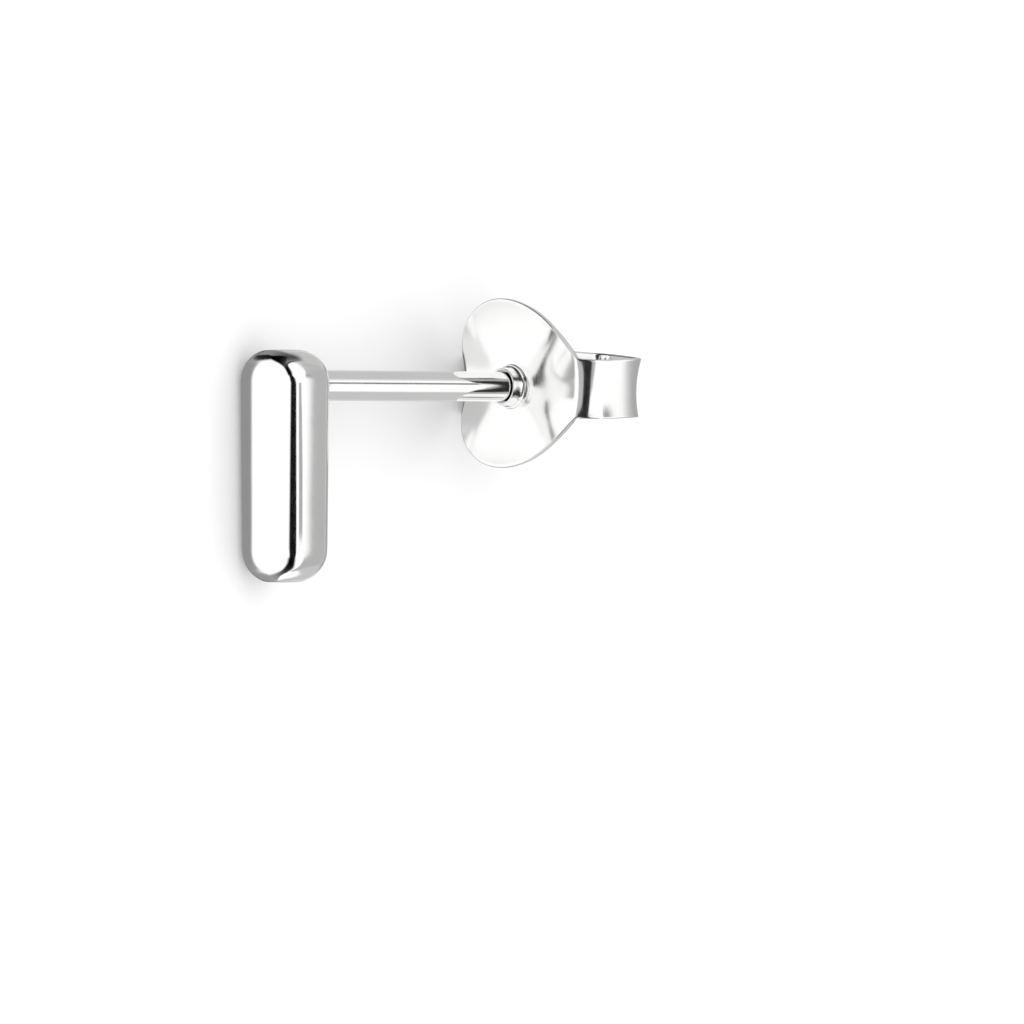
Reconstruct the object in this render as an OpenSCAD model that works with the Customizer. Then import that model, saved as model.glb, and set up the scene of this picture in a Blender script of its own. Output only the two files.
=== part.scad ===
// Bar ear stud with its butterfly clutch, lying on one long side as it rests by itself.
//
// Each piece is drawn as the stud is worn: x runs across the bar, y from the bar's flat back
// along the post, and z up the bar, with the post's axis as the line x = 0, z = 0.
// laid_down() then turns the whole stud onto its side, so that the bar's long front edge and
// one loop of the clutch touch the surface z = 0.

/* [Bar] */
// Length of the bar
bar_l = 6.07; // [5:0.01:12]
// Width of the bar at its top end
bar_w = 2.12; // [1.9:0.01:3.5]
// Depth of the bar from its crowned front to its flat back
bar_d = 1.73; // [1.5:0.01:3]
// Share of its width that the bar loses from its top to its bottom
bar_taper = 0.09; // [0:0.01:0.12]
// Radius of the crowned front across the bar
crown_r = 3.4; // [2.6:0.1:8]
// Radius of the long edges at the front
front_edge_r = 0.34; // [0.2:0.01:0.5]
// Radius of the long edges at the back
back_edge_r = 0.3; // [0.1:0.01:0.5]
// Share by which those edges get rounder towards the bar's ends
edge_growth = 1; // [0:0.1:1.5]
// Height of the rounding at each end of the bar
end_h = 0.83; // [0.4:0.01:1.2]
// Squareness of that rounding: 2 is an ellipse and more is squarer
end_power = 2.25; // [2:0.05:3]
// Reach of that rounding into each side
end_side = 0.72; // [0.3:0.01:0.75]
// Reach of that rounding into the front
end_front = 0.41; // [0.2:0.01:0.6]
// Reach of that rounding into the back
end_back = 0.36; // [0.05:0.01:0.4]

/* [Post] */
// Diameter of the post
post_d = 0.8; // [0.7:0.05:1]
// Length of the post from the bar's back to its tip
post_l = 10; // [9:0.5:12]
// Distance from the bar's top down to the post's axis
post_drop = 0.91; // [0.8:0.01:2]
// Radius of the solder fillet round the post's foot
solder_r = 0.12; // [0.05:0.01:0.2]
// Length of the notch that the clutch's loops snap into
notch_l = 0.5; // [0.3:0.05:0.8]
// Depth of that notch
notch_depth = 0.05; // [0.02:0.01:0.08]
// Distance from the notch's middle to the post's tip
notch_to_tip = 0.71; // [0.6:0.01:1.2]
// Radius of the rounding at the post's tip
tip_r = 0.25; // [0.1:0.01:0.3]

/* [Clutch plate] */
// Thickness of the sheet
sheet_t = 0.2; // [0.15:0.01:0.3]
// Height of the plate, along the bar
plate_h = 4.5; // [3.8:0.1:6]
// Width of the plate, measured on the flat blank
plate_w = 4.66; // [4:0.02:6]
// Height of the plate's middle above the hole
plate_rise = 0.09; // [0:0.01:0.2]
// Hollow across the plate: how far its top and bottom edges come forward
plate_dish = 0.47; // [0.1:0.01:0.8]
// Angle that the plate has turned back by where its tabs begin
plate_turn = 16.6; // [6:0.1:24]
// Running clearance round the post in the plate's hole
hole_gap = 0.04; // [0.02:0.01:0.08]
// Height of the collar punched forward round the hole
collar_h = 0.4; // [0.2:0.02:0.6]
// Wall of the collar at its lip
collar_wall = 0.09; // [0.06:0.01:0.15]
// How much wider the collar is at its foot
collar_flare = 0.08; // [0.03:0.01:0.15]

/* [Clutch loops] */
// Height of the tabs that are rolled into loops
tab_h = 1.58; // [1.2:0.01:2]
// Radius of the bend where a tab leaves the plate
root_bend_r = 0.45; // [0.35:0.05:0.7]
// Length of the loop's outer wall
wall_l = 1.36; // [0.9:0.01:1.8]
// Radius of the bend at the loop's back corner
end_bend_r = 0.5; // [0.35:0.05:0.6]
// Radius of the bend that leads forward along the post
inner_bend_r = 0.4; // [0.3:0.05:0.5]
// Length of the loop's end that grips the post
grip_l = 0.9; // [0.6:0.05:1.2]
// Running clearance between the grips and the post
grip_gap = 0.03; // [0.02:0.005:0.08]
// Hollow of the channel pressed along a tab, from its middle to its edges
channel_depth = 0.1; // [0.02:0.01:0.16]
// Rise of each loop over one millimetre of its roll: how far askew it is rolled
roll_skew = 0.047; // [0:0.001:0.08]
// Angle by which the clutch tips back on its post
lean = 0.6; // [0:0.1:3]
// Angle by which the clutch is turned round its post
clutch_turn = 1.7; // [-5:0.1:5]

/* [Hidden] */
$fn = 64;
silver = [0.86, 0.86, 0.87];

post_r = post_d / 2;
hole_r = post_r + hole_gap;
grip_x = post_r + grip_gap;
bar_top = post_drop;
bar_bottom = post_drop - bar_l;

// The bar: a stack of rounded sections from its bottom to its top

corner_steps = 6;
crown_steps = 8;
end_steps = 8;
// Largest corner radius as a share of a section's half width
widest_r = 0.94;

// Points of an arc, given its centre, radius and the two end angles
function arc(c, r, a0, a1, n) = [for (i = [0:n]) let (a = a0 + (a1 - a0) * i / n) c + r * [cos(a), sin(a)]];

// Outline of one section across the bar: hw is its half width, front and back its y limits
function section(hw, front, back, rf, rb) =
    let (
        cx = hw - rf,
        lead = asin(cx / (crown_r - rf)),
        cy = front + crown_r - sqrt(pow(crown_r - rf, 2) - cx * cx),
        half = concat(
            arc([hw - rb, back - rb], rb, 90, 0, corner_steps),
            arc([cx, cy], rf, 0, lead - 90, corner_steps)
        ),
        crown = [for (i = [1:crown_steps - 1])
            let (a = lead * (1 - 2 * i / crown_steps))
            [crown_r * sin(a), front + crown_r * (1 - cos(a))]],
        n = len(half)
    )
    concat(half, crown, [for (i = [0:n - 1]) let (p = half[n - 1 - i]) [-p.x, p.y]]);

// Share of an end rounding's reach that is left at a height e above the end
function rounding(e) = e >= end_h ? 0 : 1 - pow(1 - pow(1 - e / end_h, end_power), 1 / end_power);

// Half width of the bar at a height z, before its end roundings
function side_x(z) = bar_w / 2 * (1 - bar_taper * (bar_top - z) / bar_l);

function bar_section(z) =
    let (
        k = rounding(min(z - bar_bottom, bar_top - z)),
        hw = side_x(z) - k * end_side,
        front_r = min(front_edge_r * (1 + edge_growth * k), widest_r * hw),
        back_r = min(back_edge_r * (1 + edge_growth * k), widest_r * hw),
        outline = section(hw, -bar_d + k * end_front, -k * end_back, front_r, back_r)
    )
    [for (p = outline) [p.x, p.y, z]];

// Heights of the sections: close together in the end roundings, where the angle steps evenly
end_heights = [for (i = [0:end_steps]) end_h * (1 - cos(90 * i / end_steps))];
bar_heights = concat(
    [for (e = end_heights) bar_bottom + e],
    [(bar_bottom + bar_top) / 2],
    [for (i = [0:end_steps]) bar_top - end_heights[end_steps - i]]
);
bar_points = [for (z = bar_heights) each bar_section(z)];
ring_n = len(bar_points) / len(bar_heights);

// Triangles of a closed skin over rows of equal rings, with a flat cap at each end
function skin(rows, n) = concat(
    [[for (i = [0:n - 1]) n - 1 - i]],
    [for (r = [0:rows - 2], i = [0:n - 1])
        let (a = r * n + i, b = r * n + (i + 1) % n)
        each [[a, b, b + n], [a, b + n, a + n]]],
    [[for (i = [0:n - 1]) (rows - 1) * n + i]]
);

module bar() {
    polyhedron(bar_points, skin(len(bar_heights), ring_n));
}

// The post: a turned pin with a notch and a rounded tip, let into the bar

module post() {
    notch_y = post_l - notch_to_tip;
    notch_r = (pow(notch_l / 2, 2) + pow(notch_depth, 2)) / (2 * notch_depth);
    half_angle = asin(notch_l / 2 / notch_r);
    profile = concat(
        [[0, -bar_d / 2], [post_r, -bar_d / 2]],
        arc([post_r - notch_depth + notch_r, notch_y], notch_r, 180 + half_angle, 180 - half_angle, 6),
        arc([post_r - tip_r, post_l - tip_r], tip_r, 0, 90, 6),
        [[0, post_l]]
    );
    rotate([-90, 0, 0]) rotate_extrude() polygon(profile);
}

module solder_fillet() {
    profile = concat(
        [[0, -bar_d / 2], [post_r + solder_r, -bar_d / 2]],
        arc([post_r + solder_r, solder_r], solder_r, 270, 180, 5),
        [[0, solder_r]]
    );
    rotate([-90, 0, 0]) rotate_extrude() polygon(profile);
}

module bar_and_post() {
    color(silver) {
        bar();
        post();
        solder_fillet();
    }
}

// The clutch: one strip of sheet that follows a path seen from above. Each row of the path is
// one stretch, as its length and the angle that it turns by. Headings are measured from +x.

root_angle = 90;
wall_turn = 10;
end_bend_turn = 65;
back_turn = 5;
inner_start = root_angle + wall_turn + end_bend_turn + back_turn;
inner_turn = 270 - inner_start;

function bend_length(r, turn) = r * turn * PI / 180;

plate_run = plate_w / 2 - 0.08;
path_to_back = [
    [plate_run, plate_turn],
    [bend_length(root_bend_r, root_angle - plate_turn), root_angle - plate_turn],
    [wall_l, wall_turn],
    [bend_length(end_bend_r, end_bend_turn), end_bend_turn]
];

// End of a stretch that starts at p with heading h
function step_from(p, h, length, turn) =
    turn == 0
        ? p + length * [cos(h), sin(h)]
        : p + length * 180 / PI / turn * [sin(h + turn) - sin(h), cos(h) - cos(h + turn)];

// Point and heading at a distance s along the path
function walk(s, path, i = 0, p = [0, 0], h = 0) =
    let (length = path[i][0], turn = path[i][1])
    s <= length || i == len(path) - 1
        ? [step_from(p, h, s, turn * s / length), h + turn * s / length]
        : walk(s - length, path, i + 1, step_from(p, h, length, turn), h + turn);

function total(path, i = 0) = i == len(path) ? 0 : path[i][0] + total(path, i + 1);

// The back wall is as long as it takes to bring the grip to the post
back_start = walk(total(path_to_back), path_to_back);
inner_bend_dx = step_from([0, 0], inner_start, bend_length(inner_bend_r, inner_turn), inner_turn).x;
back_dx_each = step_from([0, 0], back_start[1], 1, back_turn).x;
back_l = (grip_x - inner_bend_dx - back_start[0].x) / back_dx_each;
path = concat(path_to_back, [
    [back_l, back_turn],
    [bend_length(inner_bend_r, inner_turn), inner_turn],
    [grip_l, 0]
]);
starts = [for (i = [0:len(path)]) i == 0 ? 0 : total([for (j = [0:i - 1]) path[j]])];
strip_l = starts[len(path)];

// Stations along one half of the strip: evenly spaced within each stretch
stretch_steps = [12, 6, 2, 5, 1, 6, 1];
stations = [for (i = [0:len(path) - 1], k = [0:stretch_steps[i] - 1])
    starts[i] + path[i][0] * (i == 0 ? sin(90 * k / stretch_steps[i]) : k / stretch_steps[i])];
half_stations = concat(stations, [strip_l]);

// Half height of the plate's outline and of the whole strip at a distance s from the hole
function plate_half(s) = plate_h / 2 * sqrt(max(0, 1 - pow(s / (plate_w / 2), 2)));
function strip_half(s) = pow(pow(plate_half(s), 6) + pow(tab_h / 2, 6), 1 / 6);

// How strongly the sheet is hollowed across at s
plate_hollow = plate_dish / pow(plate_h / 2, 2);
channel_hollow = channel_depth / pow(tab_h / 2, 2);
function hollow(s) =
    let (k = min(1, max(0, (s - 0.6 * plate_run) / (starts[3] - 0.6 * plate_run))))
    plate_hollow + (channel_hollow - plate_hollow) * k;

// Share of the path's bend that the sheet follows at s and z: all of it in the tabs, and in the
// plate only a valley that widens from the hole to the tab, while the wings beyond stay straight
valley_at_hole = 0.9;
valley_at_root = 1.77;
function follow(s, z) =
    let (
        at_root = min(1, s / plate_run),
        past_root = max(0, s - plate_run) / root_bend_r,
        w = tab_h / 2 * (valley_at_hole + (valley_at_root - valley_at_hole) * at_root * at_root + 3 * past_root)
    )
    1 / (1 + pow(z / w, 6));

// Point of the front skin (depth 0) or the rear skin (depth sheet_t) at s and z
function strip_point(s, z, depth) =
    let (
        at = walk(s, path),
        out = [sin(at[1]), -cos(at[1])],
        bent = at[0] + out * hollow(s) * z * z,
        flat = [at[0].x, -hollow(s) * z * z],
        f = follow(s, z),
        mixed = out * f + [0, -1] * (1 - f),
        skin_out = mixed / norm(mixed),
        p = flat + (bent - flat) * f - skin_out * depth
    )
    [p.x, p.y, z];

across = 10;
function strip_z(s, i) =
    (2 * i / across - 1) * strip_half(s)
    + plate_rise * plate_half(s) / (plate_h / 2)
    + roll_skew * max(0, s - starts[2]);

// One closed ring of points across the strip: the front skin upwards, then the rear skin downwards
function strip_ring(s, side) =
    let (
        ring = concat(
            [for (i = [0:across]) strip_point(s, strip_z(s, i), 0)],
            [for (i = [across:-1:0]) strip_point(s, strip_z(s, i), sheet_t)]
        )
    )
    [for (p = ring) [side * p.x, p.y, p.z]];

strip_rings = concat(
    [for (i = [len(half_stations) - 1:-1:1]) strip_ring(half_stations[i], -1)],
    [for (s = half_stations) strip_ring(s, 1)]
);
strip_points = [for (ring = strip_rings) each ring];

module strip() {
    polyhedron(strip_points, skin(len(strip_rings), len(strip_rings[0])));
}

module collar() {
    lip_r = hole_r + collar_wall;
    foot_r = lip_r + collar_flare;
    round_r = collar_wall / 2;
    profile = concat(
        [[hole_r - hole_gap, sheet_t / 2], [foot_r + round_r, sheet_t / 2], [foot_r + round_r, 0]],
        [[foot_r, -round_r], [lip_r, round_r - collar_h]],
        arc([lip_r - round_r, round_r - collar_h], round_r, 0, -90, 4),
        [[hole_r - hole_gap, -collar_h]]
    );
    rotate([-90, 0, 0]) rotate_extrude() polygon(profile);
}

grip_middle = walk(strip_l - grip_l / 2, path)[0].y;
clutch_y = post_l - notch_to_tip - grip_middle;

module butterfly_clutch() {
    bore_reach = grip_middle + grip_l + inner_bend_r + post_l;
    color(silver) translate([0, clutch_y, 0]) difference() {
        rotate([-lean, clutch_turn, 0]) {
            strip();
            collar();
        }
        translate([0, -collar_h - post_d, 0]) rotate([-90, 0, 0])
            cylinder(h = collar_h + 2 * post_d, r = hole_r);
        translate([0, grip_middle - grip_l, 0]) rotate([-90, 0, 0])
            cylinder(h = bore_reach, r = post_r + grip_gap);
    }
}

// How the stud lies: its long side rests flat, and it tips about the bar until a loop touches

rest_roll = atan(bar_w / 2 * bar_taper / bar_l);

function about_x(p, a) = [p.x, p.y * cos(a) - p.z * sin(a), p.y * sin(a) + p.z * cos(a)];
function about_y(p, a) = [p.x * cos(a) + p.z * sin(a), p.y, p.z * cos(a) - p.x * sin(a)];

bar_side = [for (p = bar_points) about_y(p, rest_roll - 90)];
clutch_side = [for (p = strip_points)
    let (leaning = about_y(about_x(p, -lean), clutch_turn))
    about_y(leaning + [0, clutch_y, 0], rest_roll - 90)];

function lowest(points, t) = min([for (p = points) p.y * sin(t) + p.z * cos(t)]);
low_bar = [for (p = bar_side) if (p.z < 0) p];
low_clutch = [for (p = clutch_side) if (p.z < -0.8 * tab_h) p];

// Tip angle at which the bar and the clutch are equally low, found by halving
function settle(lo, hi, n) =
    let (mid = (lo + hi) / 2)
    n == 0 ? mid
    : lowest(low_clutch, mid) < lowest(low_bar, mid) ? settle(mid, hi, n - 1)
    : settle(lo, mid, n - 1);
rest_tilt = settle(0, 40, 24);

rest_points = [for (p = concat(bar_side, clutch_side)) about_x(p, rest_tilt)];
low = [for (i = [0:2]) min([for (p = rest_points) p[i]])];
high = [for (i = [0:2]) max([for (p = rest_points) p[i]])];
rest_shift = [-(low.x + high.x) / 2, -(low.y + high.y) / 2, -low.z];

module laid_down() {
    translate(rest_shift) rotate([rest_tilt, 0, 0]) rotate([0, rest_roll - 90, 0]) children();
}

laid_down() bar_and_post();
laid_down() butterfly_clutch();
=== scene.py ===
# %% [markdown]
# # A bar ear stud with its butterfly clutch
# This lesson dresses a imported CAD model: a short, rounded silver bar with a straight post on its
# back, and a clutch of thin silver sheet that slides on the post. The CAD solids are made of flat
# facets. Polished silver shows every facet in its reflections, so each piece is made again here
# as a fine, smooth mesh, from the same sizes and in the same place.

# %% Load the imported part
import math

import bmesh
import bpy
import numpy as np
from mathutils import Matrix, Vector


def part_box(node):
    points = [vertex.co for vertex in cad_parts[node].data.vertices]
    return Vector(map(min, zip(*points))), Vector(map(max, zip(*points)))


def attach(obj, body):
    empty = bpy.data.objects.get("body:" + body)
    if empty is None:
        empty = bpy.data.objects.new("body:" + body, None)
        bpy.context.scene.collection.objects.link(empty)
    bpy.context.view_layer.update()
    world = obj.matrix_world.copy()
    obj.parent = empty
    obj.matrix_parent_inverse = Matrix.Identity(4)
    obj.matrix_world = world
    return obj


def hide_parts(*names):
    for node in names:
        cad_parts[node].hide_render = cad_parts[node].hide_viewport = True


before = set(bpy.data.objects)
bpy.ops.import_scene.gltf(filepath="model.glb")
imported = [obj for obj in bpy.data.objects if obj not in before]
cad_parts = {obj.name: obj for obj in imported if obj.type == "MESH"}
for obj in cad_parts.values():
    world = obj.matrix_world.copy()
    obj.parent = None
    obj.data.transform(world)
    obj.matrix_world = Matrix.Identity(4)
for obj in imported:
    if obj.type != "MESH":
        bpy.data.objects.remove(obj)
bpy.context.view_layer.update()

# %% [markdown]
# ## Two sets of directions
# A jeweller describes a stud as it is worn: x across the bar, y from the bar's flat back along the
# post, z up the bar, with the post's axis as the line x = 0, z = 0. The model lies on one side, as
# a stud does on a table. Every shape could be drawn lying down, but the formulas would be hard to
# read. So each shape is drawn as worn, in millimetres, and one turn and one shift lay it down. The
# bar narrows a little towards its lower end, so it rolls by the slope of its side as it lies down,
# and the clutch, which is wider than the bar, tilts the whole stud.

# %% Turns about two axes


def turn_about_x(angle):
    c, s = math.cos(angle), math.sin(angle)
    return np.array([[1, 0, 0], [0, c, -s], [0, s, c]])


def turn_about_y(angle):
    c, s = math.cos(angle), math.sin(angle)
    return np.array([[c, 0, s], [0, 1, 0], [-s, 0, c]])


print("a quarter turn about x takes y to", np.round(turn_about_x(math.pi / 2)[:, 1], 3))

# %% Lay a worn point down on the table
BAR_L, BAR_W, BAR_TAPER = 6.07, 2.12, 0.09
REST_ROLL = math.atan(BAR_W / 2 * BAR_TAPER / BAR_L)
REST_TILT = math.radians(9.67156)
REST_SHIFT = np.array([-1.40986, -4.26503, 1.2572])
LAID = turn_about_x(REST_TILT) @ turn_about_y(REST_ROLL - math.pi / 2)


def lay_down(points_mm):
    return (np.asarray(points_mm, float) @ LAID.T + REST_SHIFT) / 1000


print("the post's axis, lying:", np.round(LAID[:, 1], 4))

# %% [markdown]
# ## Skins over rings
# Both pieces are long shapes whose cross-section changes slowly, so both can be drawn as a row of
# rings, each with the same number of points, with a skin of four-sided faces over them. Subdivision
# surfaces would also give smooth shapes, but they pull away from the sizes. Rings sit exactly on
# the formulas, so the piece keeps the size that the CAD has.

# %% Faces over a row of rings


def skin_over_rings(rings, ring_points, closed=True):
    around = ring_points if closed else ring_points - 1
    faces = []
    for r in range(rings - 1):
        for i in range(around):
            a, b = r * ring_points + i, r * ring_points + (i + 1) % ring_points
            faces.append((a, b, b + ring_points, a + ring_points))
    return faces


print("3 rings of 4 points take", len(skin_over_rings(3, 4)), "faces")

# %% A mesh object from worn points and faces
WELD_MM = 0.0005


def mesh_object(name, points_mm, faces):
    mesh = bpy.data.meshes.new(name)
    mesh.from_pydata([tuple(p) for p in lay_down(points_mm)], [], [tuple(f) for f in faces])
    work = bmesh.new()
    work.from_mesh(mesh)
    bmesh.ops.remove_doubles(work, verts=work.verts, dist=WELD_MM / 1000)
    bmesh.ops.dissolve_degenerate(work, edges=work.edges, dist=WELD_MM / 1000)
    bmesh.ops.recalc_face_normals(work, faces=work.faces)
    for face in work.faces:
        face.smooth = True
    open_edges = sum(1 for e in work.edges if len(e.link_faces) != 2)
    work.to_mesh(mesh)
    work.free()
    piece = bpy.data.objects.new(name, mesh)
    bpy.context.scene.collection.objects.link(piece)
    print(f"{name}: {len(mesh.vertices)} points, {len(mesh.polygons)} faces, {open_edges} open edges")
    return piece


print("points closer than", WELD_MM, "mm are welded")

# %% Points along an arc


def arc(centre, radius, start, end, steps):
    angle = np.radians(np.linspace(start, end, steps + 1))
    return np.stack([centre[0] + radius * np.cos(angle), centre[1] + radius * np.sin(angle)], 1)


print("a quarter arc in 2 steps:", np.round(arc([0, 0], 1, 0, 90, 2), 2).tolist())

# %% [markdown]
# ## The bar
# The real bar is a small cast block of silver, rubbed and polished until its edges are soft. Its
# back is flat, its front is slightly crowned, and its ends are rounded more than its long edges.
# It could be a cube with a bevel, but a bevel has one radius all round. Here each cross-section
# gets its own width, depth and edge radius, so the rounding grows towards the ends as it does
# under a polishing wheel.

# %% Sizes of the bar, in millimetres
BAR_D, BAR_TOP, CROWN_R, BACK_EDGE_R = 1.73, 0.91, 4.0, 0.3
BAR_BOTTOM = BAR_TOP - BAR_L


def bar_half_width(z):
    return BAR_W / 2 * (1 - BAR_TAPER * (BAR_TOP - z) / BAR_L)


print("width at the top and bottom:", [round(2 * bar_half_width(z), 2) for z in (BAR_TOP, BAR_BOTTOM)])

# %% How much of the ends' rounding is left at a height above the end
END_H, END_POWER = 0.83, 2.25


def end_rounding(e):
    if e >= END_H:
        return 0.0
    return 1 - (1 - (1 - e / END_H) ** END_POWER) ** (1 / END_POWER)


print("share of the rounding left half way up:", round(end_rounding(END_H / 2), 3))

# %% [markdown]
# ### Crowned ends
# A flat end would show one flat reflection with a hard rim. Polishing leaves it crowned, so the
# rings near an end drop back along a parabola: least in the middle of the end and most at the
# bar's side. The whole crown is lifted a little, so that the bar keeps its length to the eye.

# %% The crown of the ends, and the line of the bar's back
END_SIDE, END_FRONT, END_BACK = 0.72, 0.41, 0.36
END_CROWN, CAP_SHARE, CROWN_LIFT = 0.08, 0.42, 0.025


def crown_drop(k):
    """How far the crown has dropped where the rounding is k, which is 1 at the cap's edge."""
    return END_CROWN * (1 - (1 - CAP_SHARE) * k) ** 2


def back_of_bar(z):
    inward = min(z - BAR_BOTTOM, BAR_TOP - z)
    inward -= crown_drop(end_rounding(max(0.0, inward))) - CROWN_LIFT
    return -END_BACK * end_rounding(max(0.0, inward))


print("the crown drops", round(crown_drop(1), 3), "mm at the cap's edge,", crown_drop(0), "mm at the side")

# %% The front edge, from the crown to the side
# Each band is [up to this angle, radius, steps]. The rounding is tight in its middle and eases out
# into the side, as a polished edge does.
EDGE_BANDS = [[24, 0.60, 5], [37, 0.47, 6], [63, 0.30, 12], [71, 0.60, 5], [90, 1.30, 8]]
edge_sines = np.sin(np.radians([0] + [band[0] for band in EDGE_BANDS]))
EDGE_REACH = sum(band[1] * rise for band, rise in zip(EDGE_BANDS, np.diff(edge_sines)))


def rounded_edge(start, lead, growth):
    """Points from the crown's edge to the side, band by band."""
    points, before = [np.array(start)], lead
    for end, radius, steps in EDGE_BANDS:
        base, first = points[-1], math.radians(before)
        for a in np.radians(np.linspace(before, end, steps + 1))[1:]:
            step = np.array([math.sin(a) - math.sin(first), math.cos(first) - math.cos(a)])
            points.append(base + radius * growth * step)
        before = end
    return np.array(points)


print("the front edge's rounding reaches", round(EDGE_REACH, 3), "mm across the bar")

# %% The smaller of two sizes, with a smooth change from one to the other
BLEND = 8


def softly_smaller(a, b):
    return (a**-BLEND + b**-BLEND) ** (-1 / BLEND)


print("softly smaller of 1 and 1.2:", round(softly_smaller(1, 1.2), 3))

# %% One cross-section of the bar, seen from above
CROWN_STEPS, BACK_STEPS, BACK_EDGE_STEPS = 36, 14, 18
BACK_EDGE_ROOM, FRONT_EDGE_ROOM, FRONT_GROWTH = 0.94, 0.97, 0.2


def bar_section(z, shrink=0.0):
    k = end_rounding(min(z - BAR_BOTTOM, BAR_TOP - z))
    half = bar_half_width(z) - k * END_SIDE
    front, back = -BAR_D + k * END_FRONT, -k * END_BACK
    back_r = softly_smaller(BACK_EDGE_R * (1 + k), BACK_EDGE_ROOM * half)
    growth = softly_smaller(1 + FRONT_GROWTH * k, FRONT_EDGE_ROOM * half / EDGE_REACH)
    lead = math.asin((half - EDGE_REACH * growth) / (CROWN_R - EDGE_BANDS[0][1] * growth))
    crown_angle = np.linspace(lead, -lead, CROWN_STEPS + 1)
    crown = np.stack([CROWN_R * np.sin(crown_angle), front + CROWN_R * (1 - np.cos(crown_angle))], 1)
    front_edge = rounded_edge(crown[0], math.degrees(lead), growth)[::-1]
    back_edge = arc([half - back_r, back - back_r], back_r, 90, 0, BACK_EDGE_STEPS)
    right = np.concatenate([back_edge, front_edge])
    flat_x = np.linspace(back_r - half, half - back_r, BACK_STEPS + 1)[1:-1]
    flat = np.stack([flat_x, np.full_like(flat_x, back)], 1)
    outline = np.concatenate([right, crown[1:-1], right[::-1] * [-1, 1], flat])
    middle = np.array([0, (front + back) / 2])
    return middle + (outline - middle) * (1 - shrink)


print("each section of the bar has", len(bar_section(0.0)), "points")

# %% The rings of one end of the bar
END_STEPS, CAP_STEPS = 54, 12
end_heights = END_H * (1 - np.cos(np.radians(np.linspace(0, 90, END_STEPS + 1))))


def flat_ring(z, outline):
    return np.column_stack([outline[:, 0], outline[:, 1], np.full(len(outline), z)])


def end_rings(tip, inward):
    """Rings from the middle of one end's crowned cap to the end of its rounding."""
    sections = []
    for e in end_heights:
        drop = crown_drop(end_rounding(e))
        sections.append(flat_ring(tip + inward * (e + drop - CROWN_LIFT), bar_section(tip + inward * e)))
    for s in np.linspace(0, 1, CAP_STEPS + 1)[1:]:
        drop = END_CROWN * (CAP_SHARE * (1 - s)) ** 2
        sections.insert(0, flat_ring(tip + inward * (drop - CROWN_LIFT), bar_section(tip, s)))
    return sections


bottom_rings, top_rings = end_rings(BAR_BOTTOM, 1), end_rings(BAR_TOP, -1)
print("each end has", len(bottom_rings), "rings")

# %% The bar, from its bottom end to its top end
MIDDLE_STEPS = 24
rounded_h = END_H + END_CROWN - CROWN_LIFT
middle_heights = np.linspace(BAR_BOTTOM + rounded_h, BAR_TOP - rounded_h, MIDDLE_STEPS + 1)[1:-1]
bar_rings = bottom_rings + [flat_ring(z, bar_section(z)) for z in middle_heights] + top_rings[::-1]
bar = mesh_object("bar", np.concatenate(bar_rings), skin_over_rings(len(bar_rings), len(bar_rings[0])))

# %% [markdown]
# ## The post
# The post is a piece of drawn wire, so it is straight and round. Near its free end a shallow notch
# is rolled into it, where the clutch's loops snap in, and the tip is rounded so that it slips
# through the ear. A cylinder would need a cut and a bevel for these. A profile that is turned about
# the axis gives them at once. The tip's end face is crowned too, since a flat disc of silver would
# shine like a lamp from one side.

# %% The post's profile above the solder, as distance from the axis and height
POST_R, POST_L, SOLDER_R = 0.4, 10.0, 0.12
NOTCH_L, NOTCH_DEPTH, NOTCH_TO_TIP = 0.5, 0.05, 0.71
SHAFT_STEPS, SHAFT_MARGIN = 24, 0.05
notch_r = ((NOTCH_L / 2) ** 2 + NOTCH_DEPTH**2) / (2 * NOTCH_DEPTH)
notch_half = math.degrees(math.asin(NOTCH_L / 2 / notch_r))
notch_y = POST_L - NOTCH_TO_TIP
shaft_y = np.linspace(SOLDER_R + SHAFT_MARGIN, notch_y - NOTCH_L / 2 - SHAFT_MARGIN, SHAFT_STEPS)
shaft = np.column_stack([np.full(SHAFT_STEPS, POST_R), shaft_y])
notch = arc([POST_R - NOTCH_DEPTH + notch_r, notch_y], notch_r, 180 + notch_half, 180 - notch_half, 12)
print("the notch lies", round(notch_y, 2), "mm behind the bar")

# %% The post's rounded tip and its crowned end face
TIP_R, TIP_TURN = 0.25, 75
tip_edge = arc([POST_R - TIP_R, POST_L - TIP_R], TIP_R, 0, TIP_TURN, 14)
face_r, face_y = tip_edge[-1]
face_share = np.linspace(1, 0, 9)[1:]
face_slope = math.tan(math.radians(90 - TIP_TURN))
tip_face = np.column_stack([face_r * face_share, face_y + face_slope * face_r / 2 * (1 - face_share**2)])
upper_profile = np.concatenate([shaft, notch, tip_edge, tip_face])
print("the tip's face is crowned by", round(face_slope * face_r / 2, 3), "mm")

# %% [markdown]
# ### The solder at its foot
# The post is soldered on, and the solder leaves a small concave fillet that is never quite even. A
# bevel along the seam would be the same all round, so the fillet is drawn line by line instead. Its
# radius changes a little from side to side, and its edge follows the bar's back. The lines start
# inside the bar, so that bar and post overlap where they are joined.

# %% One line of the solder fillet, from inside the bar up to the post
UNEVEN_TWICE, UNEVEN_FIVE, UNEVEN_START = 0.16, 0.08, 0.6
FILLET_STEPS, FOOT_DEPTH, FOOT_SINK = 12, 0.06, 0.004


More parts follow.
